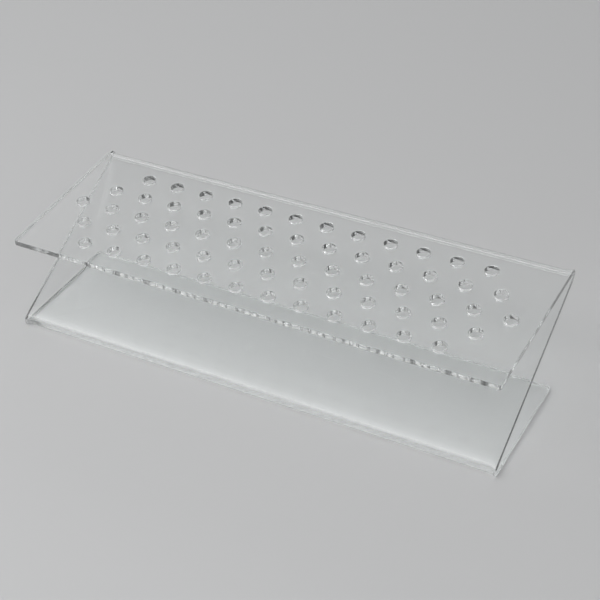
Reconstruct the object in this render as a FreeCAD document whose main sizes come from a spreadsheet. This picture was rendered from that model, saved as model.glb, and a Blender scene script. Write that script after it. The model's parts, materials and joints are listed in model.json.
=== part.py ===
"""Perforated capsule stand: one sheet of clear acrylic, folded twice into a Z.

The sheet lies flat as a base plate, folds back on itself at the front into a sloping web, and folds
again at the top back edge into a nearly level deck. The deck is drilled with five staggered rows of
round holes, 64 in all. The folds and the flat panels are one piece of material. Each is modelled as a
solid of its own, so that the two wedge-shaped spaces between the panels stay open, and neighbours meet
face to face.

Axes: +X along the folds, +Y from the front to the back, +Z up. The origin is on the surface that the
base rests on, under the middle of the whole object.
"""
import FreeCAD, Part
import math
import os
import Sketcher

DIMENSIONS = {
    # the sheet
    "sheet_length": 288,  # along the folds
    "sheet_thickness": 3,
    # the side profile
    "base_depth": 72.6,  # back edge of the base to the nose of the front fold
    "web_slope": 27.3,  # degrees from level
    "web_straight": 105.4,  # flat length between the two folds
    "deck_slope": 2.8,  # degrees, lower at the front
    "deck_straight": 92,  # front edge to the start of the back fold
    # the folds
    "fold_radius": 4.2,  # outside
    "fold_end_radius": 3.8,  # outside, where each fold flares at its two ends
    "fold_land": 1,  # flat strip that belongs to a fold, on each side of its bend
    "flare_length": 5,  # along the fold
    # the holes in the deck
    "hole_diameter": 7.5,
    "middle_row_holes": 14,
    "hole_pitch": 20,  # in the middle row
    "row_spacing": 16,
    "row_step": 12,  # how far each next row stops short of the one before, at each end
    "middle_row_setback": 46.4,  # from the front edge
}
ROWS = (-2, -1, 0, 1, 2)  # counted back from the middle row

# A panel's outline is drawn roughly first, and its constraints then give it its size.
ROUGH_LENGTH = 100
ROUGH_START = 5
ROUGH_DEPTH = 55

doc = FreeCAD.newDocument("capsule_stand")


def make_dimensions():
    """The sheet of driving dimensions, in millimetres and degrees, with the name beside each number."""
    sheet = doc.addObject("Spreadsheet::Sheet", "Dimensions")
    for row, (name, value) in enumerate(DIMENSIONS.items(), start=1):
        sheet.set(f"A{row}", name)
        sheet.set(f"B{row}", str(value))
        sheet.setAlias(f"B{row}", name)
    doc.recompute()


def dim(name):
    """A driving dimension, as it is written in an expression."""
    return f"Dimensions.{name}"


def angle(name):
    """A driving angle, with its unit."""
    return f"({dim(name)} * 1deg)"


# Derived places in the side profile, as expressions of the driving dimensions.
LENGTH = dim("sheet_length")
THICKNESS = dim("sheet_thickness")
OUTER = dim("fold_radius")
INNER = f"({OUTER} - {THICKNESS})"
LAND = dim("fold_land")
WEB = angle("web_slope")
DECK = angle("deck_slope")
# from the centre of the front fold to the centre of the back fold
FOLD_TO_FOLD_Y = f"({dim('web_straight')} * cos({WEB}) - ({OUTER} + {INNER}) * sin({WEB}))"
FOLD_TO_FOLD_Z = f"({dim('web_straight')} * sin({WEB}) + ({OUTER} + {INNER}) * cos({WEB}))"
# how far the flared ends of the two folds stand out to the front and to the back
TIGHTER = f"({OUTER} - {dim('fold_end_radius')})"
FRONT_FLARE = f"({TIGHTER} / tan({WEB} / 2) - {TIGHTER})"
HALF_BACK_ANGLE = f"(({WEB} - {DECK}) / 2)"
BACK_NOSE_TILT = f"(({WEB} + {DECK}) / 2)"
BACK_FLARE = f"({TIGHTER} / sin({HALF_BACK_ANGLE}) * cos({BACK_NOSE_TILT}) - {TIGHTER})"
FRONT_FOLD_Y = f"(({FRONT_FLARE} - {BACK_FLARE} - {FOLD_TO_FOLD_Y}) / 2)"
FRONT_FOLD_Z = OUTER
BACK_FOLD_Y = f"({FRONT_FOLD_Y} + {FOLD_TO_FOLD_Y})"
BACK_FOLD_Z = f"({FRONT_FOLD_Z} + {FOLD_TO_FOLD_Z})"


def make_body(label, y, z, slope=None):
    """An empty body at y, z in the side profile, tilted about X by a slope if it has one."""
    body = doc.addObject("PartDesign::Body", label)
    body.Label = label
    tilt = FreeCAD.Rotation(FreeCAD.Vector(1, 0, 0), 1)
    body.Placement = FreeCAD.Placement(FreeCAD.Vector(0, 0, 0), tilt)
    body.setExpression("Placement.Base.y", y)
    body.setExpression("Placement.Base.z", z)
    body.setExpression("Placement.Rotation.Angle", slope or "0deg")
    return body


def origin_plane(body, role):
    """One of the body's own origin planes or axes."""
    return next(feature for feature in body.Origin.OriginFeatures if feature.Role == role)


def make_sketch(body, name, role, offset=None):
    """A sketch on one of the body's origin planes, moved along its normal by an offset if it has one."""
    sketch = body.newObject("Sketcher::SketchObject", name)
    sketch.AttachmentSupport = (origin_plane(body, role), [""])
    sketch.MapMode = "FlatFace"
    if offset:
        sketch.setExpression("AttachmentOffset.Base.z", offset)
    return sketch


def bind(sketch, constraint, name, expression):
    """Add a sized constraint and tie it to the driving dimensions."""
    index = sketch.addConstraint(constraint)
    sketch.renameConstraint(index, name)
    sketch.setExpression(f"Constraints.{name}", expression)


def make_panel(body, start, depth):
    """A flat panel as long as the sheet, from start to start + depth along the body's Y."""
    sketch = make_sketch(body, f"{body.Label}_outline", "XY_Plane")
    side_x, end_y = ROUGH_LENGTH / 2, ROUGH_START + ROUGH_DEPTH
    outline = ((-side_x, ROUGH_START), (side_x, ROUGH_START), (side_x, end_y), (-side_x, end_y))
    corners = [FreeCAD.Vector(x, y, 0) for x, y in outline]
    for here, there in zip(corners, corners[1:] + corners[:1]):
        sketch.addGeometry(Part.LineSegment(here, there), False)
    for side in range(4):
        sketch.addConstraint(Sketcher.Constraint("Coincident", side, 2, (side + 1) % 4, 1))
    sketch.addConstraint(Sketcher.Constraint("Symmetric", 0, 1, 0, 2, -2))  # this also levels side 0
    for side, direction in ((1, "Vertical"), (2, "Horizontal"), (3, "Vertical")):
        sketch.addConstraint(Sketcher.Constraint(direction, side))
    bind(sketch, Sketcher.Constraint("DistanceX", 0, 1, 0, 2, ROUGH_LENGTH), "length", LENGTH)
    bind(sketch, Sketcher.Constraint("DistanceY", 1, 1, 1, 2, ROUGH_DEPTH), "depth", depth)
    if start == "0":
        sketch.addConstraint(Sketcher.Constraint("PointOnObject", 0, 1, -1))
    else:
        bind(sketch, Sketcher.Constraint("DistanceY", -1, 1, 0, 1, ROUGH_START), "start", start)
    pad = body.newObject("PartDesign::Pad", f"{body.Label}_sheet")
    pad.Profile = sketch
    pad.setExpression("Length", THICKNESS)
    sketch.Visibility = False
    return pad


def drill_row(body, row):
    """One row of through holes in the deck, evenly spaced from end to end and centred on its length."""
    steps = abs(row)
    full_span = f"({dim('middle_row_holes')} - 1) * {dim('hole_pitch')}"
    span = f"({full_span} - {2 * steps} * {dim('row_step')})"
    side = "front" if row < 0 else "back"
    name = f"{side}_row_{steps}" if steps else "middle_row"
    sketch = make_sketch(body, f"{name}_first_hole", "XY_Plane")
    size = DIMENSIONS["hole_diameter"]
    setback_now = DIMENSIONS["middle_row_setback"] + row * DIMENSIONS["row_spacing"]
    start = FreeCAD.Vector(-ROUGH_LENGTH, setback_now, 0)
    sketch.addGeometry(Part.Circle(start, FreeCAD.Vector(0, 0, 1), size / 2), False)
    bind(sketch, Sketcher.Constraint("Diameter", 0, size), "diameter", dim("hole_diameter"))
    half_span = Sketcher.Constraint("DistanceX", 0, 3, -1, 1, ROUGH_LENGTH)
    bind(sketch, half_span, "half_span", f"{span} / 2")
    setback = f"{dim('middle_row_setback')} + {row} * {dim('row_spacing')}"
    bind(sketch, Sketcher.Constraint("DistanceY", -1, 1, 0, 3, start.y), "setback", setback)
    pocket = body.newObject("PartDesign::Pocket", f"{name}_hole")
    pocket.Profile = sketch
    pocket.Type = "ThroughAll"
    pocket.Reversed = True
    sketch.Visibility = False
    pattern = body.newObject("PartDesign::LinearPattern", name)
    pattern.Originals = [pocket]
    pattern.Direction = (sketch, ["H_Axis"])
    pattern.setExpression("Length", span)
    pattern.setExpression("Occurrences", f"{dim('middle_row_holes')} - {steps}")
    body.Tip = pattern
    doc.recompute()


def on_circle(radius, degrees):
    """A point on a circle about the sketch's origin."""
    turn = math.radians(degrees)
    return FreeCAD.Vector(radius * math.cos(turn), radius * math.sin(turn), 0)


def fold_section(body, name, offset, radius, ends):
    """The section across a fold: two concentric arcs and a flat land at each end of them.

    ends holds the two directions, in degrees, that point from the fold's centre to where the full-radius
    bend starts and stops. The lands' outer ends stay where they are whatever the radius, so a tighter
    section stands out further. Each direction comes as a first guess in degrees and as an expression.
    """
    sketch = make_sketch(body, name, "YZ_Plane", offset)
    (first, first_angle), (last, last_angle) = ends
    out_r = DIMENSIONS["fold_radius"]
    in_r = out_r - DIMENSIONS["sheet_thickness"]
    land = DIMENSIONS["fold_land"]
    away_first = on_circle(land, first - 90)
    away_last = on_circle(land, last + 90)
    outer_first, outer_last = on_circle(out_r, first), on_circle(out_r, last)
    inner_first, inner_last = on_circle(in_r, first), on_circle(in_r, last)
    axis = FreeCAD.Vector(0, 0, 1)
    turns = math.radians(first), math.radians(last)
    outer_circle = Part.Circle(FreeCAD.Vector(0, 0, 0), axis, out_r)
    inner_circle = Part.Circle(FreeCAD.Vector(0, 0, 0), axis, in_r)
    outline = (
        Part.ArcOfCircle(outer_circle, *turns),
        Part.LineSegment(outer_last, outer_last + away_last),
        Part.LineSegment(outer_last + away_last, inner_last + away_last),
        Part.LineSegment(inner_last + away_last, inner_last),
        Part.ArcOfCircle(inner_circle, *turns),
        Part.LineSegment(inner_first, inner_first + away_first),
        Part.LineSegment(inner_first + away_first, outer_first + away_first),
        Part.LineSegment(outer_first + away_first, outer_first),
    )
    for edge in outline:
        sketch.addGeometry(edge, False)
    outer_arc, outer_land_b, cap_b, inner_land_b, inner_arc, inner_land_a, cap_a, outer_land_a = range(8)
    joins = (
        (outer_land_b, 2, cap_b, 1),
        (cap_b, 2, inner_land_b, 1),
        (inner_land_a, 2, cap_a, 1),
        (cap_a, 2, outer_land_a, 1),
    )
    tangents = (
        (outer_arc, 2, outer_land_b, 1),
        (inner_land_b, 2, inner_arc, 2),
        (inner_arc, 1, inner_land_a, 1),
        (outer_land_a, 2, outer_arc, 1),
    )
    for join in joins:
        sketch.addConstraint(Sketcher.Constraint("Coincident", *join))
    for tangent in tangents:
        sketch.addConstraint(Sketcher.Constraint("Tangent", *tangent))
    corners = (
        ("outer_a", cap_a, 2, (OUTER, out_r), ends[0], -1),
        ("inner_a", cap_a, 1, (INNER, in_r), ends[0], -1),
        ("outer_b", cap_b, 1, (OUTER, out_r), ends[1], 1),
        ("inner_b", cap_b, 2, (INNER, in_r), ends[1], 1),
    )
    for corner, edge, point, (size, about_size), (degrees, turn), way in corners:
        about = on_circle(about_size, degrees) + on_circle(land, degrees + 90 * way)
        y = f"{size} * cos({turn}) - {way} * {LAND} * sin({turn})"
        z = f"{size} * sin({turn}) + {way} * {LAND} * cos({turn})"
        from_centre_y = Sketcher.Constraint("DistanceX", -1, 1, edge, point, about.x)
        from_centre_z = Sketcher.Constraint("DistanceY", -1, 1, edge, point, about.y)
        bind(sketch, from_centre_y, f"{corner}_y", y)
        bind(sketch, from_centre_z, f"{corner}_z", z)
    square_to_caps = (
        (outer_land_a, cap_a),
        (inner_land_a, cap_a),
        (outer_land_b, cap_b),
        (inner_land_b, cap_b),
    )
    for land_line, cap in square_to_caps:
        sketch.addConstraint(Sketcher.Constraint("Perpendicular", land_line, cap))
    inside = f"{radius} - {THICKNESS}"
    bind(sketch, Sketcher.Constraint("Radius", outer_arc, out_r), "outer_radius", radius)
    bind(sketch, Sketcher.Constraint("Radius", inner_arc, in_r), "inner_radius", inside)
    return sketch


def make_fold(body, ends):
    """A fold with its plain middle stretch and a short flared stretch at each end."""
    half = f"{LENGTH} / 2"
    flare_start = f"{half} - {dim('flare_length')}"
    middle = fold_section(body, f"{body.Label}_section", None, OUTER, ends)
    pad = body.newObject("PartDesign::Pad", f"{body.Label}_middle")
    pad.Profile = middle
    pad.Midplane = True
    pad.setExpression("Length", f"{LENGTH} - 2 * {dim('flare_length')}")
    plain = fold_section(body, f"{body.Label}_flare_start", flare_start, OUTER, ends)
    tight = fold_section(body, f"{body.Label}_flare_end", half, dim("fold_end_radius"), ends)
    doc.recompute()
    flare = body.newObject("PartDesign::AdditiveLoft", f"{body.Label}_flare")
    flare.Profile = plain
    flare.Sections = [tight]
    flare.Ruled = True
    doc.recompute()
    mirrored = body.newObject("PartDesign::Mirrored", f"{body.Label}_both_flares")
    mirrored.Originals = [flare]
    mirrored.MirrorPlane = (origin_plane(body, "YZ_Plane"), [""])
    body.Tip = mirrored
    doc.recompute()


def make_base_plate():
    """The flat foot that the whole stand rests on."""
    body = make_body("base_plate", FRONT_FOLD_Y, "0mm")
    make_panel(body, LAND, f"{dim('base_depth')} - {OUTER} - {LAND}")


def make_front_fold():
    """The lower fold: the sheet turns up and back from the base into the web."""
    body = make_body("front_fold", FRONT_FOLD_Y, FRONT_FOLD_Z)
    slope = DIMENSIONS["web_slope"]
    make_fold(body, ((90 + slope, f"(90deg + {WEB})"), (270, "270deg")))


def make_sloping_web():
    """The panel that rises from the front fold to the back fold and carries the deck."""
    y = f"{FRONT_FOLD_Y} - {INNER} * sin({WEB})"
    z = f"{FRONT_FOLD_Z} + {INNER} * cos({WEB})"
    body = make_body("sloping_web", y, z, WEB)
    make_panel(body, LAND, f"{dim('web_straight')} - 2 * {LAND}")


def make_back_fold():
    """The upper fold: the sheet turns over and forward from the web into the deck."""
    body = make_body("back_fold", BACK_FOLD_Y, BACK_FOLD_Z)
    web_slope, deck_slope = DIMENSIONS["web_slope"], DIMENSIONS["deck_slope"]
    make_fold(body, ((web_slope - 90, f"({WEB} - 90deg)"), (90 + deck_slope, f"(90deg + {DECK})")))


def make_deck():
    """The drilled top panel, where each capsule stands in a hole of its own."""
    y = f"{BACK_FOLD_Y} - {INNER} * sin({DECK}) - {dim('deck_straight')} * cos({DECK})"
    z = f"{BACK_FOLD_Z} + {INNER} * cos({DECK}) - {dim('deck_straight')} * sin({DECK})"
    body = make_body("perforated_deck", y, z, DECK)
    make_panel(body, "0", f"{dim('deck_straight')} - {LAND}")
    doc.recompute()
    for row in ROWS:
        drill_row(body, row)


def check_and_export():
    """Stop at anything that failed, then write each part to a file of its own."""
    doc.recompute()
    failed = [o.Label for o in doc.Objects if "Invalid" in o.State or "Error" in o.State]
    if failed:
        raise RuntimeError(f"these objects failed: {failed}")
    os.makedirs("parts", exist_ok=True)
    for body in doc.findObjects("PartDesign::Body"):
        shape = body.Shape
        if shape.isNull() or not shape.isValid() or len(shape.Solids) != 1:
            raise RuntimeError(f"{body.Label} is not one valid solid")
        shape.exportStep(f"parts/{body.Label}.step")
        box = shape.BoundBox
        print(f"{body.Label}: {shape.Volume:.0f} mm3, x {box.XMin:.2f}..{box.XMax:.2f}, "
              f"y {box.YMin:.2f}..{box.YMax:.2f}, z {box.ZMin:.2f}..{box.ZMax:.2f}")


make_dimensions()
make_base_plate()
make_front_fold()
make_sloping_web()
make_back_fold()
make_deck()
check_and_export()
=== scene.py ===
"""Looks of the perforated capsule stand: one sheet of clear acrylic, cut flat and then bent into a Z.

The sheet is made the way the real one is. Its flat pattern is drawn first, with x along the folds and s
along the side profile, from the back edge of the base to the front edge of the deck. Then each point of
both faces and of every cut edge is carried round the two folds. All lengths are in metres.
"""
import functools
import json
import math

import bpy
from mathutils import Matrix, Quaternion, Vector
from mathutils.geometry import delaunay_2d_cdt


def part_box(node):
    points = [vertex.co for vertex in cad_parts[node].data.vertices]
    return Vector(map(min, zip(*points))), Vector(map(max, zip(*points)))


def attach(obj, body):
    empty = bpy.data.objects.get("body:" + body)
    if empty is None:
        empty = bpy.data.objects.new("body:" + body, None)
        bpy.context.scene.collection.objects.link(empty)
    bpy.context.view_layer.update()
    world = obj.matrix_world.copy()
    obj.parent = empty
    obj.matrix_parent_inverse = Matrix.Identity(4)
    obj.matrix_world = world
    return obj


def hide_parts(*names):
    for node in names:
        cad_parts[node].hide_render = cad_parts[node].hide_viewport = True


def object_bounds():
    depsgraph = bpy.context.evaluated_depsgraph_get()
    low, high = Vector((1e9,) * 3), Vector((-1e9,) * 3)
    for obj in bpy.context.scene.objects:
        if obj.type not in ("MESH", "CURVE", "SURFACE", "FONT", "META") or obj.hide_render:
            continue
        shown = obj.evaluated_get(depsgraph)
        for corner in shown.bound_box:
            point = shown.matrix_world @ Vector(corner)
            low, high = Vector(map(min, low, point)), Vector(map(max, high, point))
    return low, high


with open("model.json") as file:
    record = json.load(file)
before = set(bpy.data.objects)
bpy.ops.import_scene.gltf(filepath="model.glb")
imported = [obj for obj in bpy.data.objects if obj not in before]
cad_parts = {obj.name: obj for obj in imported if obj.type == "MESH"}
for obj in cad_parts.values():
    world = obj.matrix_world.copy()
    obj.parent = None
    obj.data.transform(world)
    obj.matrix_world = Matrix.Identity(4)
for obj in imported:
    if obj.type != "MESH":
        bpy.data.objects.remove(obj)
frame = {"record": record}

cad_low, cad_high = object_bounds()

MM = 0.001

# The folds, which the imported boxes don't give.
FOLD_RADIUS = 4.2 * MM  # outside
FOLD_END_RADIUS = 3.8 * MM  # outside, at the two ends of the fold
FOLD_LAND = 1.0 * MM
FLARE_LENGTH = 5.0 * MM
WEB_SLOPE = math.radians(27.3)
LEAD_LENGTH = 8.0 * MM  # on each side of a bend, where the heat softened the sheet
LEAD_TURN = math.radians(4.0)

# What the cutting leaves.
EDGE_ROUNDING = 0.18 * MM
CORNER_RADIUS = 1.0 * MM

# How finely the sheet is divided.
STEPS_IN_BEND = 26
STEPS_IN_LEAD = 8
INTEGRAL_STEPS = 12
STEPS_IN_FLARE = 5
STEPS_IN_CORNER = 6
STEPS_IN_HOLE = 56
STEPS_IN_ROUNDING = 3
RADIUS_SEARCH_STEPS = 40
SMALLEST_CORE = 0.3  # where that search starts, as a share of the plain bend's radius
SAME_ROW = 1e-9  # two points no further apart along s are in one row
SAME_POINT_MM = 1e-6
TANGENT_STEP = 0.1 * MM
TIGHTENING_DIGITS = 7  # metres are rounded to these for the cached profiles

# The plastic.
ACRYLIC_IOR = 1.49
FACE_TINT = (0.985, 0.992, 0.99)
EDGE_TINT = (0.965, 0.985, 0.98)
SHADOW_TINT = (0.955, 0.96, 0.96)
EDGE_CLARITY = 0.86

# Where the camera stands, seen from the middle of the sheet.
VIEW_AZIMUTH = math.radians(31.51)
VIEW_ELEVATION = math.radians(37.03)
VIEW_ROLL = math.radians(-4.08)
VIEW_DISTANCE = 0.79106
AIM = Vector((0.00698, 0.00314, 0.02976))
LENS = 87.7
SENSOR_WIDTH = 36.0

# Floor and room.
FLOOR_REACH = 8.0
FLOOR_COLOUR = (0.581, 0.5835, 0.587)
ROOM = (
    # height of the direction, colour there
    (0.0, (0.60, 0.603, 0.606)),
    (0.4, (0.30, 0.303, 0.306)),
    (0.9, (0.20, 0.20, 0.20)),
)

# Lights.
RIM_FADE = (0.25, 0.35)  # shares of a softbox's two sides over which it dims to nothing
SOFTBOXES = (
    # name, middle, size along x and y, power in watts
    ("sheen_softbox", (-0.95, 1.20, 1.4), (2.4, 0.9), 2.5),
    ("back_softbox", (-1.30, 2.55, 1.4), (3.4, 1.9), 40),
    ("front_softbox", (-0.70, -0.92, 1.4), (2.8, 1.36), 44),
)
FAR_LIGHTS = (
    # name, azimuth, elevation, strength, how wide it looks; angles in degrees
    ("front_light", 20, 40, 0.4, 80),
    ("right_light", 80, 30, 0.3, 70),
    ("left_light", -75, 20, 0.25, 56),
)


# ---------------------------------------------------------------- the side profile

base_low, base_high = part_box("base_plate")
web_low, web_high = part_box("sloping_web")
deck_low, deck_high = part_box("perforated_deck")
THICKNESS = base_high.z - base_low.z
HALF_LENGTH = base_high.x
HALF_THICKNESS = THICKNESS / 2

bores = [mount for mount in frame["record"]["mounts"] if mount["kind"] == "bore"]
bore_axis = Vector(bores[0]["axis"])
DECK_SLOPE = math.atan2(-bore_axis.y, bore_axis.z)
WEB_LENGTH = (web_high.z - web_low.z - THICKNESS * math.cos(WEB_SLOPE)) / math.sin(WEB_SLOPE)
DECK_LENGTH = (deck_high.y - deck_low.y - THICKNESS * math.sin(DECK_SLOPE)) / math.cos(DECK_SLOPE)
BASE_LENGTH = base_high.y - base_low.y
BEND_RADIUS = FOLD_RADIUS - HALF_THICKNESS  # at the middle of the sheet's thickness
FRONT_TURN = -(math.pi - WEB_SLOPE)
BACK_TURN = math.pi - WEB_SLOPE + DECK_SLOPE


def direction(angle):
    """The unit vector at an angle from +Y towards +Z, as x, y, z."""
    return Vector((0, math.cos(angle), math.sin(angle)))


def tightening(x):
    """How much smaller the folds' radius is at x than in the middle."""
    into_flare = max(0.0, abs(x) - (HALF_LENGTH - FLARE_LENGTH)) / FLARE_LENGTH
    return round((FOLD_RADIUS - FOLD_END_RADIUS) * into_flare**2, TIGHTENING_DIGITS)


# How a stretch of the profile shares out its turn over its length.
EASES = {
    "even": lambda share: share,
    "lead_in": lambda share: share**2,
    "lead_out": lambda share: 1 - (1 - share)**2,
}


def along(length, turn, ease, heading, share):
    """How far a stretch has gone after a share of it, as a vector from its start, by Simpson's rule."""
    total = Vector((0, 0, 0))
    for step in range(2 * INTEGRAL_STEPS + 1):
        weight = 1 if step in (0, 2 * INTEGRAL_STEPS) else 4 if step % 2 else 2
        total += weight * direction(heading + turn * EASES[ease](share * step / (2 * INTEGRAL_STEPS)))
    return total * (length * share / (6 * INTEGRAL_STEPS))


def fold_stretches(turn, radius):
    """A fold: the sheet starts to curve gently where it was heated, turns tightly, and straightens."""
    way = math.copysign(1, turn)
    core = abs(turn) - 2 * LEAD_TURN
    return (
        (LEAD_LENGTH, way * LEAD_TURN, "lead_in"),
        (radius * core, way * core, "even"),
        (LEAD_LENGTH, way * LEAD_TURN, "lead_out"),
    )


def fold_reach(turn, radius):
    """How far the start of the fold, and the middle of its bend, are from where its panels' lines cross."""
    way = math.copysign(1, turn)
    spot, heading, middle = Vector((0, 0, 0)), 0.0, None
    for length, part_turn, ease in fold_stretches(turn, radius):
        if ease == "even":
            middle = spot + along(length, part_turn, ease, heading, 0.5)
        spot = spot + along(length, part_turn, ease, heading, 1.0)
        heading += part_turn
    to_start = way * spot.z / math.sin(abs(turn))
    return to_start, (middle - Vector((0, to_start, 0))).length


@functools.cache
def core_radius(turn, plain_radius):
    """The tight part's radius that puts the bend where a plain bend of that radius would be."""
    wanted = plain_radius / math.cos(abs(turn) / 2) - plain_radius
    low, high = SMALLEST_CORE * plain_radius, plain_radius
    for _ in range(RADIUS_SEARCH_STEPS):
        tried = (low + high) / 2
        if fold_reach(turn, tried)[1] < wanted:
            low = tried
        else:
            high = tried
    return (low + high) / 2


@functools.cache
def profile(tighter):
    """The side profile, from the base's back to the deck's front, where the folds are tighter by that much.

    Each stretch is (s where it starts, s where it ends, start point, heading, real length, turn, ease).
    The flat runs give way as a fold tightens, so the panels stay where they are.
    """
    plain = BEND_RADIUS - tighter
    front_core, back_core = core_radius(FRONT_TURN, plain), core_radius(BACK_TURN, plain)
    front_start = fold_reach(FRONT_TURN, front_core)[0]
    back_start = fold_reach(BACK_TURN, back_core)[0]
    to_front = BEND_RADIUS * math.tan(abs(FRONT_TURN) / 2) + FOLD_LAND
    to_back = BEND_RADIUS * math.tan(BACK_TURN / 2) + FOLD_LAND
    stretches = (
        (BASE_LENGTH + to_front - front_start, 0.0, "even"),
        *fold_stretches(FRONT_TURN, front_core),
        (to_front + WEB_LENGTH + to_back - front_start - back_start, 0.0, "even"),
        *fold_stretches(BACK_TURN, back_core),
        (DECK_LENGTH + to_back - back_start, 0.0, "even"),
    )
    shares = [stretch[0] for stretch in stretches]
    if tighter:
        shares = [end - start for start, end, *_ in profile(0.0)]
    made = []
    s = 0.0
    point = Vector((0, base_high.y, base_low.z + HALF_THICKNESS))
    heading = math.pi
    for share, (length, turn, ease) in zip(shares, stretches):
        made.append((s, s + share, point, heading, length, turn, ease))
        s += share
        point = point + along(length, turn, ease, heading, 1.0)
        heading += turn
    return made


STRETCHES = profile(0.0)
SHEET_WIDTH = STRETCHES[-1][1]


@functools.cache
def centre_line(tighter, s):
    """The middle of the sheet's thickness at s, and which way the sheet heads there."""
    stretches = profile(tighter)
    found = next((stretch for stretch in stretches if s <= stretch[1]), stretches[-1])
    start, end, point, heading, length, turn, ease = found
    share = (s - start) / (end - start)
    if not turn:
        return point + length * share * direction(heading), heading
    return point + along(length, turn, ease, heading, share), heading + turn * EASES[ease](share)


def place(x, s, n):
    """Where the flat sheet's point (x, s), n above the middle of its thickness, is on the bent sheet."""
    point, heading = centre_line(tightening(x), s)
    spot = point + n * direction(heading - math.pi / 2)
    return Vector((x, spot.y, spot.z))


def tangents(x, s, n):
    """The sheet's directions at a point, along x and along s, and the normal on the side where n grows."""
    along_x = (place(x + TANGENT_STEP, s, n) - place(x - TANGENT_STEP, s, n)).normalized()
    along_s = direction(centre_line(tightening(x), s)[1])
    return along_x, along_s, along_s.cross(along_x).normalized()


# ---------------------------------------------------------------- the flat pattern

def flat_place(point):
    """The s of a point on the deck, from its place in the row frame."""
    start, _, origin, heading, _, _, _ = STRETCHES[-1]
    return start + (Vector((0, point.y, point.z)) - origin).dot(direction(heading))


def outline_loop():
    """The outline just inside its rounded edge, in order: (x, s, outward x, outward s) for each point."""
    half = HALF_LENGTH
    turn = math.pi / 2 / STEPS_IN_CORNER
    inset_radius = CORNER_RADIUS - EDGE_ROUNDING
    corners = (
        (half - CORNER_RADIUS, CORNER_RADIUS, -math.pi / 2),
        (half - CORNER_RADIUS, SHEET_WIDTH - CORNER_RADIUS, 0.0),
        (-half + CORNER_RADIUS, SHEET_WIDTH - CORNER_RADIUS, math.pi / 2),
        (-half + CORNER_RADIUS, CORNER_RADIUS, math.pi),
    )
    loop = []
    for number, (x, s, start) in enumerate(corners):
        for step in range(STEPS_IN_CORNER + 1):
            out_x, out_s = math.cos(start + turn * step), math.sin(start + turn * step)
            loop.append((x + inset_radius * out_x, s + inset_radius * out_s, out_x, out_s))
        if number == 0:
            loop += [(half - EDGE_ROUNDING, row, 1.0, 0.0) for row in fold_rows()]
        if number == 2:
            loop += [(-half + EDGE_ROUNDING, row, -1.0, 0.0) for row in reversed(fold_rows())]
    return loop


@functools.cache
def fold_rows():
    """Where the sheet is divided across its width: every step of both folds."""
    steps_in = {"even": STEPS_IN_BEND, "lead_in": STEPS_IN_LEAD, "lead_out": STEPS_IN_LEAD}
    rows = []
    for start, end, _, _, _, turn, ease in STRETCHES[1:-1]:
        steps = steps_in[ease] if turn else 1
        rows += [start + (end - start) * step / steps for step in range(steps)]
    rows.append(STRETCHES[-1][0])
    return rows


def fold_columns():
    """Where the sheet is divided along its length, inside its outline, so the fold ends can flare."""
    start = HALF_LENGTH - FLARE_LENGTH
    reach = FLARE_LENGTH - EDGE_ROUNDING
    right = [start + reach * step / STEPS_IN_FLARE for step in range(STEPS_IN_FLARE)]
    return [-x for x in reversed(right)] + right


def hole_loop(bore):
    """One hole, just outside its rounded rim, run the other way round. Outward is into the hole."""
    centre = Vector(bore["pos_m"])
    radius = bore["dims"]["r_mm"] * MM
    s = flat_place(centre)
    loop = []
    for step in range(STEPS_IN_HOLE):
        turn = -2 * math.pi * step / STEPS_IN_HOLE
        out_x, out_s = -math.cos(turn), -math.sin(turn)
        reach = radius + EDGE_ROUNDING
        loop.append((centre.x - reach * out_x, s - reach * out_s, out_x, out_s))
    return loop


def triangulate(loops):
    """The flat pattern as triangles: points, triangles, and each loop's points by their numbers."""
    points, edges, loop_starts = [], [], []
    for loop in loops:
        first = len(points)
        loop_starts.append(first)
        points += [Vector((x / MM, s / MM)) for x, s, _, _ in loop]
        edges += [(first + i, first + (i + 1) % len(loop)) for i in range(len(loop))]
    columns = fold_columns()
    rows = fold_rows()
    outline = loops[0]
    for row in rows:
        ends = [
            i for i, (_, s, out_x, _) in enumerate(outline)
            if abs(s - row) < SAME_ROW and abs(out_x) == 1.0
        ]
        left = min(ends, key=lambda i: outline[i][0])
        right = max(ends, key=lambda i: outline[i][0])
        chain = [left, *range(len(points), len(points) + len(columns)), right]
        points += [Vector((x / MM, row / MM)) for x in columns]
        edges += list(zip(chain, chain[1:]))
    made, _, triangles, sources, _, _ = delaunay_2d_cdt(points, edges, [], 1, SAME_POINT_MM, True)
    number_of = {source: number for number, found in enumerate(sources) for source in found}
    rings = [[number_of[first + i] for i in range(len(loop))] for first, loop in zip(loop_starts, loops)]
    inside = [set(ring) for ring in rings[1:]]
    kept = [t for t in triangles if not any(ring.issuperset(t) for ring in inside)]
    return [(p.x * MM, p.y * MM) for p in made], kept, rings


# ---------------------------------------------------------------- the bent sheet

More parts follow.
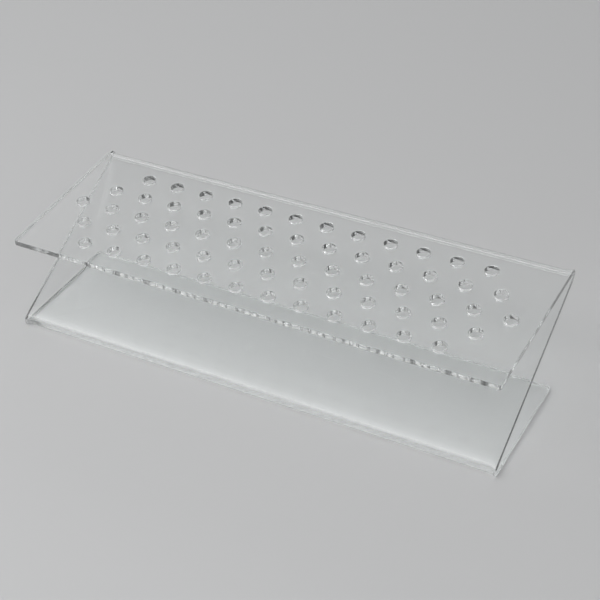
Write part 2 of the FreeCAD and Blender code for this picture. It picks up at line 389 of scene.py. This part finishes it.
def make_sheet():
    """The whole stand as one closed mesh: two faces, with rounded rims and walls round every cut."""
    loops = [outline_loop()] + [hole_loop(bore) for bore in bores]
    flat, triangles, rings = triangulate(loops)
    vertices, normals, faces, face_uvs, slots = [], [], [], [], []

    def add_vertex(spot, normal):
        vertices.append(spot)
        normals.append(normal)
        return len(vertices) - 1

    side_vertices = {}
    for side in (1, -1):
        numbers = []
        for x, s in flat:
            normal = tangents(x, s, side * HALF_THICKNESS)[2]
            numbers.append(add_vertex(place(x, s, side * HALF_THICKNESS), side * normal))
        side_vertices[side] = numbers
        for triangle in triangles:
            order = triangle[::-side]
            faces.append([numbers[i] for i in order])
            face_uvs.append([flat[i] for i in order])
            slots.append(0)

    for loop, ring in zip(loops, rings):
        bands = [[side_vertices[1][i] for i in ring]]
        heights = [THICKNESS]
        for side in (1, -1):
            turns = range(1, STEPS_IN_ROUNDING + 1) if side == 1 else range(STEPS_IN_ROUNDING, 0, -1)
            for step in turns:
                turn = math.pi / 2 * step / STEPS_IN_ROUNDING
                out = EDGE_ROUNDING * math.sin(turn)
                n = side * (HALF_THICKNESS - EDGE_ROUNDING * (1 - math.cos(turn)))
                band = []
                for x, s, out_x, out_s in loop:
                    along_x, along_s, up = tangents(x, s, n)
                    outward = (out_x * along_x + out_s * along_s).normalized()
                    normal = math.sin(turn) * outward + side * math.cos(turn) * up
                    spot = place(x + out * out_x, s + out * out_s, n)
                    band.append(add_vertex(spot, normal.normalized()))
                bands.append(band)
                heights.append(n + HALF_THICKNESS)
        bands.append([side_vertices[-1][i] for i in ring])
        heights.append(0.0)
        run = [0.0]
        for here, there in zip(loop, loop[1:] + loop[:1]):
            run.append(run[-1] + math.hypot(there[0] - here[0], there[1] - here[1]))
        for (upper, high), (lower, low) in zip(zip(bands, heights), zip(bands[1:], heights[1:])):
            for i in range(len(loop)):
                j = (i + 1) % len(loop)
                faces.append([upper[i], upper[j], lower[j], lower[i]])
                face_uvs.append([(run[i], high), (run[i + 1], high), (run[i + 1], low), (run[i], low)])
                slots.append(1)

    mesh = bpy.data.meshes.new("acrylic_sheet")
    mesh.from_pydata(vertices, [], faces)
    uv = mesh.uv_layers.new(name="flat_pattern")
    for polygon, corners in zip(mesh.polygons, face_uvs):
        for loop_number, corner in zip(polygon.loop_indices, corners):
            uv.data[loop_number].uv = corner
    mesh.polygons.foreach_set("material_index", slots)
    mesh.polygons.foreach_set("use_smooth", [True] * len(faces))
    mesh.normals_split_custom_set_from_vertices(normals)
    sheet = bpy.data.objects.new("acrylic_sheet", mesh)
    bpy.context.scene.collection.objects.link(sheet)
    return sheet


# ---------------------------------------------------------------- materials

class Nodes:
    """A material's node tree, with short ways to add and join nodes."""

    def __init__(self, name):
        self.material = bpy.data.materials.new(name)
        self.material.use_nodes = True
        self.tree = self.material.node_tree
        self.tree.nodes.clear()
        self.output = self.tree.nodes.new("ShaderNodeOutputMaterial")

    def add(self, kind, **settings):
        node = self.tree.nodes.new(kind)
        for name, value in settings.items():
            if name in node.inputs:
                node.inputs[name].default_value = value
            else:
                setattr(node, name, value)
        return node

    def link(self, source, target):
        self.tree.links.new(source, target)

    def noise(self, vector, scale, detail=2.0, roughness=0.5):
        node = self.add("ShaderNodeTexNoise")
        node.inputs["Scale"].default_value = scale
        node.inputs["Detail"].default_value = detail
        node.inputs["Roughness"].default_value = roughness
        self.link(vector, node.inputs["Vector"])
        return node.outputs["Fac"]

    def stretched(self, vector, scale):
        node = self.add("ShaderNodeMapping")
        node.inputs["Scale"].default_value = scale
        self.link(vector, node.inputs["Vector"])
        return node.outputs["Vector"]

    def spread(self, value, low, high, from_low=0.0, from_high=1.0):
        node = self.add("ShaderNodeMapRange")
        node.inputs["From Min"].default_value = from_low
        node.inputs["From Max"].default_value = from_high
        node.inputs["To Min"].default_value = low
        node.inputs["To Max"].default_value = high
        self.link(value, node.inputs["Value"])
        return node.outputs["Result"]

    def plus(self, first, second):
        node = self.add("ShaderNodeMath", operation="ADD")
        self.link(first, node.inputs[0])
        self.link(second, node.inputs[1])
        return node.outputs["Value"]

    def bump(self, height, strength, distance, normal=None):
        node = self.add("ShaderNodeBump")
        node.inputs["Strength"].default_value = strength
        node.inputs["Distance"].default_value = distance
        self.link(height, node.inputs["Height"])
        if normal is not None:
            self.link(normal, node.inputs["Normal"])
        return node.outputs["Normal"]


def acrylic(nodes, tint, clarity):
    """The clear plastic itself. Clarity is the share of light that isn't scattered."""
    shader = nodes.add("ShaderNodeBsdfPrincipled")
    shader.inputs["Base Color"].default_value = (*tint, 1)
    shader.inputs["Transmission Weight"].default_value = clarity
    shader.inputs["IOR"].default_value = ACRYLIC_IOR
    return shader


def let_light_through(nodes, shader, tint):
    """Shadow rays pass, so that the floor behind the clear sheet is lit as it is behind a real one."""
    path = nodes.add("ShaderNodeLightPath")
    clear = nodes.add("ShaderNodeBsdfTransparent")
    clear.inputs["Color"].default_value = (*tint, 1)
    mix = nodes.add("ShaderNodeMixShader")
    nodes.link(path.outputs["Is Shadow Ray"], mix.inputs["Fac"])
    nodes.link(shader.outputs["BSDF"], mix.inputs[1])
    nodes.link(clear.outputs["BSDF"], mix.inputs[2])
    nodes.link(mix.outputs["Shader"], nodes.output.inputs["Surface"])


def face_material():
    """Polished faces of cast sheet: nearly flawless, with a slow ripple, wiping marks and a fine haze."""
    nodes = Nodes("clear_acrylic")
    shader = acrylic(nodes, FACE_TINT, clarity=1.0)
    place_in_sheet = nodes.add("ShaderNodeTexCoord").outputs["Object"]
    cloudy = nodes.noise(place_in_sheet, scale=38, detail=5, roughness=0.6)
    haze = nodes.spread(cloudy, low=0.0, high=0.02, from_low=0.45, from_high=0.75)
    wiped = nodes.noise(nodes.stretched(place_in_sheet, (40, 260, 260)), scale=3.0, detail=3)
    marks = nodes.spread(wiped, low=0.006, high=0.02, from_low=0.5, from_high=0.8)
    nodes.link(nodes.plus(haze, marks), shader.inputs["Roughness"])
    ripple = nodes.noise(place_in_sheet, scale=14, detail=1)
    nodes.link(nodes.bump(ripple, strength=0.04, distance=0.3 * MM), shader.inputs["Normal"])
    let_light_through(nodes, shader, SHADOW_TINT)
    return nodes.material


def edge_material():
    """Laser-cut edge: glossy but finely ridged through the thickness, and a little cooler in colour."""
    nodes = Nodes("clear_acrylic_cut_edge")
    shader = acrylic(nodes, EDGE_TINT, EDGE_CLARITY)
    flat = nodes.add("ShaderNodeUVMap", uv_map="flat_pattern").outputs["UV"]
    ridges = nodes.noise(nodes.stretched(flat, (2400, 60, 1)), scale=1.0, detail=2)
    streaks = nodes.noise(nodes.stretched(flat, (850, 40, 1)), scale=1.0, detail=1)
    rough = nodes.spread(nodes.plus(ridges, streaks), low=0.02, high=0.16, from_low=0.75, from_high=1.3)
    nodes.link(rough, shader.inputs["Roughness"])
    streaked = nodes.bump(streaks, strength=0.3, distance=0.06 * MM)
    ridged = nodes.bump(ridges, strength=0.3, distance=0.03 * MM, normal=streaked)
    nodes.link(ridged, shader.inputs["Normal"])
    nodes.link(shader.outputs["BSDF"], nodes.output.inputs["Surface"])
    return nodes.material


def floor_material():
    """Plain pale matt floor."""
    nodes = Nodes("pale_floor")
    shader = nodes.add("ShaderNodeBsdfPrincipled")
    shader.inputs["Base Color"].default_value = (*FLOOR_COLOUR, 1)
    shader.inputs["Roughness"].default_value = 0.7
    shader.inputs["Specular IOR Level"].default_value = 0.2
    nodes.link(shader.outputs["BSDF"], nodes.output.inputs["Surface"])
    return nodes.material


# ---------------------------------------------------------------- floor, light, camera

def make_floor():
    """A level floor that the object stands on."""
    signs = ((-1, -1), (1, -1), (1, 1), (-1, 1))
    corners = [(x * FLOOR_REACH, y * FLOOR_REACH, cad_low.z) for x, y in signs]
    mesh = bpy.data.meshes.new("floor")
    mesh.from_pydata(corners, [], [(0, 1, 2, 3)])
    mesh.materials.append(floor_material())
    floor = bpy.data.objects.new("floor", mesh)
    bpy.context.scene.collection.objects.link(floor)


def standing(azimuth, elevation):
    """The direction from the object to something at those angles. Azimuth 0 is straight in front."""
    level = math.cos(elevation)
    return Vector((math.sin(azimuth) * level, -math.cos(azimuth) * level, math.sin(elevation)))


def fade_at_rim(light):
    """Make a rectangular light dim smoothly to nothing towards its rim, as cloth over a lamp does."""
    light.use_nodes = True
    tree = light.node_tree
    across = tree.nodes.new("ShaderNodeSeparateXYZ")
    tree.links.new(tree.nodes.new("ShaderNodeNewGeometry").outputs["Parametric"], across.inputs["Vector"])
    both = tree.nodes.new("ShaderNodeMath")
    both.operation = "MULTIPLY"
    for number, axis in enumerate("XY"):
        from_rim = tree.nodes.new("ShaderNodeMath")
        from_rim.operation = "PINGPONG"
        from_rim.inputs[1].default_value = 0.5
        tree.links.new(across.outputs[axis], from_rim.inputs[0])
        fade = tree.nodes.new("ShaderNodeMapRange")
        fade.interpolation_type = "SMOOTHSTEP"
        fade.inputs["From Max"].default_value = RIM_FADE[number]
        tree.links.new(from_rim.outputs["Value"], fade.inputs["Value"])
        tree.links.new(fade.outputs["Result"], both.inputs[number])
    tree.links.new(both.outputs["Value"], tree.nodes["Emission"].inputs["Strength"])


def softbox(name, middle, size, power):
    """A level rectangular light that faces straight down, with its sides along X and Y."""
    light = bpy.data.lights.new(name, "AREA")
    light.shape = "RECTANGLE"
    light.size, light.size_y = size
    light.energy = power
    fade_at_rim(light)
    lamp = bpy.data.objects.new(name, light)
    lamp.location = middle
    bpy.context.scene.collection.objects.link(lamp)


def far_light(name, azimuth, elevation, strength, spread):
    """A wide, far-off soft light. The angles, in degrees, say where it stands, seen from the object."""
    light = bpy.data.lights.new(name, "SUN")
    light.energy = strength
    light.angle = math.radians(spread)
    lamp = bpy.data.objects.new(name, light)
    toward = standing(math.radians(azimuth), math.radians(elevation))
    lamp.rotation_euler = toward.to_track_quat("Z", "Y").to_euler()
    bpy.context.scene.collection.objects.link(lamp)


def make_world():
    """A soft grey room, paler near the horizon than overhead."""
    world = bpy.data.worlds.new("room")
    bpy.context.scene.world = world
    world.use_nodes = True
    tree = world.node_tree
    background = tree.nodes["Background"]
    toward = tree.nodes.new("ShaderNodeTexCoord")
    height = tree.nodes.new("ShaderNodeSeparateXYZ")
    ramp = tree.nodes.new("ShaderNodeValToRGB")
    stops = ramp.color_ramp.elements
    stops.new(ROOM[1][0])
    for stop, (position, colour) in zip(stops, ROOM):
        stop.position = position
        stop.color = (*colour, 1)
    tree.links.new(toward.outputs["Generated"], height.inputs["Vector"])
    tree.links.new(height.outputs["Z"], ramp.inputs["Fac"])
    tree.links.new(ramp.outputs["Color"], background.inputs["Color"])
    background.inputs["Strength"].default_value = 1.0


def make_camera():
    """The camera at the viewing angle, with a slight roll."""
    away = standing(VIEW_AZIMUTH, VIEW_ELEVATION)
    data = bpy.data.cameras.new("camera")
    data.lens = LENS
    data.sensor_width = SENSOR_WIDTH
    camera = bpy.data.objects.new("camera", data)
    camera.location = AIM + VIEW_DISTANCE * away
    camera.rotation_mode = "QUATERNION"
    camera.rotation_quaternion = away.to_track_quat("Z", "Y") @ Quaternion((0, 0, 1), VIEW_ROLL)
    bpy.context.scene.collection.objects.link(camera)
    bpy.context.scene.camera = camera


sheet = make_sheet()
sheet.data.materials.append(face_material())
sheet.data.materials.append(edge_material())
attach(sheet, "root")
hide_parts("base_plate", "front_fold", "sloping_web", "back_fold", "perforated_deck")

make_floor()
make_world()
for row in SOFTBOXES:
    softbox(*row)
for row in FAR_LIGHTS:
    far_light(*row)
make_camera()

scene = bpy.context.scene
scene.cycles.max_bounces = 24
scene.cycles.transmission_bounces = 24
scene.cycles.glossy_bounces = 12
scene.cycles.transparent_max_bounces = 32
scene.cycles.diffuse_bounces = 3
scene.view_settings.view_transform = "Standard"
